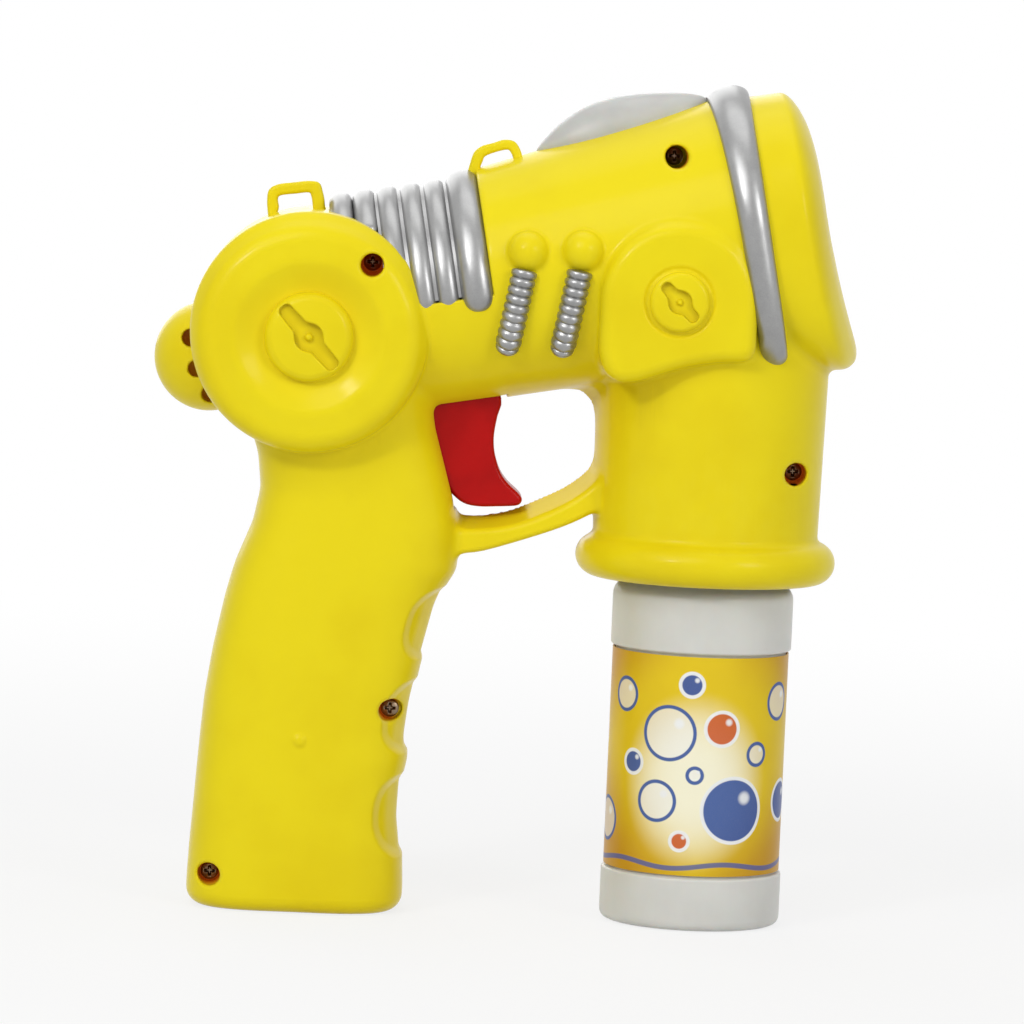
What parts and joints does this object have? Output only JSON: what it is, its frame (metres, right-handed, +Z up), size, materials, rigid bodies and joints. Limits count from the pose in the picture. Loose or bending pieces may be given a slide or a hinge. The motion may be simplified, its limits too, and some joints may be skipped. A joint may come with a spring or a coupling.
{
  "type": "bubble blower",
  "caption": "Handheld bubble blower with a rear drum, ribbed neck, flared horn mouth, sprung trigger, battery fan and pump, and a solution bottle hanging in a front socket.",
  "frame": {"origin": "middle of the bounding box, on the plane that the handle foot and the bottle base stand on", "axes": "+X is the way the bubbles leave, +Z up along the handle, +Y to the left half that has the battery door"},
  "size_m": [0.1649, 0.0684, 0.1969],
  "materials": {
    "yellow_plastic": "glossy moulded plastic",
    "silver_plastic": "silver lacquer on plastic",
    "red_plastic": "glossy moulded plastic",
    "frosted_plastic": "frosted, lets light through",
    "white_plastic": "satin",
    "printed_film": "printed film",
    "steel": "satin",
    "nylon": "moulded",
    "black_plastic": "moulded",
    "clear_hose": "clear soft plastic",
    "rubber": "matte",
    "brass": "satin",
    "circuit_board": "lacquered board",
    "battery_wrap": "printed film over a metal can",
    "motor_case": "plated can"
  },
  "bodies": {
    "body": {"left_shell": "yellow_plastic", "right_shell": "yellow_plastic", "case_screw_1": "steel", "case_screw_2": "steel", "case_screw_3": "steel", "case_screw_4": "steel", "case_screw_5": "steel", "neck_sleeve": "silver_plastic", "front_hoop": "silver_plastic", "rod_right_rear": "silver_plastic", "rod_right_front": "silver_plastic", "rod_left_rear": "silver_plastic", "rod_left_front": "silver_plastic", "light_dome": "frosted_plastic", "led_lamp": "frosted_plastic", "led_board": "circuit_board", "trigger_pin": "steel", "trigger_spring": "steel", "switch_block": "black_plastic", "switch_leaf": "brass", "battery_box": "black_plastic", "battery_rear": "battery_wrap", "battery_front": "battery_wrap", "contact_bridge": "steel", "contact_tab_rear": "steel", "contact_tab_front": "steel", "motor_can": "motor_case", "motor_end_cap": "nylon", "blower_housing": "black_plastic", "idler_axle": "steel", "pump_axle": "steel", "pump_housing": "black_plastic", "feed_hose": "clear_hose", "bubble_ring": "nylon", "socket_insert": "white_plastic", "dip_tube": "clear_hose", "bottle_seal": "rubber"},
    "trigger": {"trigger": "red_plastic"},
    "battery_door": {"battery_door": "yellow_plastic", "door_screw": "steel"},
    "bottle": {"bottle": "white_plastic", "bottle_label": "printed_film"},
    "blower_rotor": {"motor_shaft": "steel", "pinion": "nylon", "blower_fan": "nylon"},
    "idler": {"idler_gear": "nylon"},
    "pump_rotor": {"pump_gear": "nylon"},
    "roller_upper": {"pump_roller_upper": "steel"},
    "roller_lower": {"pump_roller_lower": "steel"}
  },
  "joints": [
    {"name": "trigger_pull", "type": "hinge", "parent": "body", "child": "trigger", "pos_m": [-0.009, 0, 0.1258], "axis": [0, 1, 0], "range_deg": [0, 10], "stiffness_Nm_per_rad": 0.3, "springref_deg": -11.46, "deforming": ["trigger_spring"]},
    {"name": "door_swing", "type": "hinge", "parent": "body", "child": "battery_door", "pos_m": [-0.04226, 0.0183, 0.07784], "axis": [0.9945, 0, -0.1045], "range_deg": [0, 90]},
    {"name": "bottle_pull", "type": "slide", "parent": "body", "child": "bottle", "axis": [0, 0, -1], "range_m": [0, 0.11]},
    {"name": "rotor_spin", "type": "hinge", "parent": "body", "child": "blower_rotor", "pos_m": [-0.046, 0, 0.1347], "axis": [0, 1, 0], "continuous": true},
    {"name": "idler_spin", "type": "hinge", "parent": "body", "child": "idler", "pos_m": [-0.03392, 0, 0.13531], "axis": [0, 1, 0], "continuous": true},
    {"name": "pump_spin", "type": "hinge", "parent": "body", "child": "pump_rotor", "pos_m": [-0.0226, 0, 0.1396], "axis": [0, 1, 0], "continuous": true},
    {"name": "roller_upper_spin", "type": "hinge", "parent": "pump_rotor", "child": "roller_upper", "pos_m": [-0.02402, 0, 0.14334], "axis": [0, 1, 0], "continuous": true},
    {"name": "roller_lower_spin", "type": "hinge", "parent": "pump_rotor", "child": "roller_lower", "pos_m": [-0.02118, 0, 0.13586], "axis": [0, 1, 0], "continuous": true}
  ],
  "couplings": [
    {"joint": "idler_spin", "follows": "rotor_spin", "ratio": -0.25},
    {"joint": "pump_spin", "follows": "rotor_spin", "ratio": 0.0625},
    {"joint": "roller_upper_spin", "follows": "rotor_spin", "ratio": -0.21528},
    {"joint": "roller_lower_spin", "follows": "rotor_spin", "ratio": -0.21528}
  ]
}
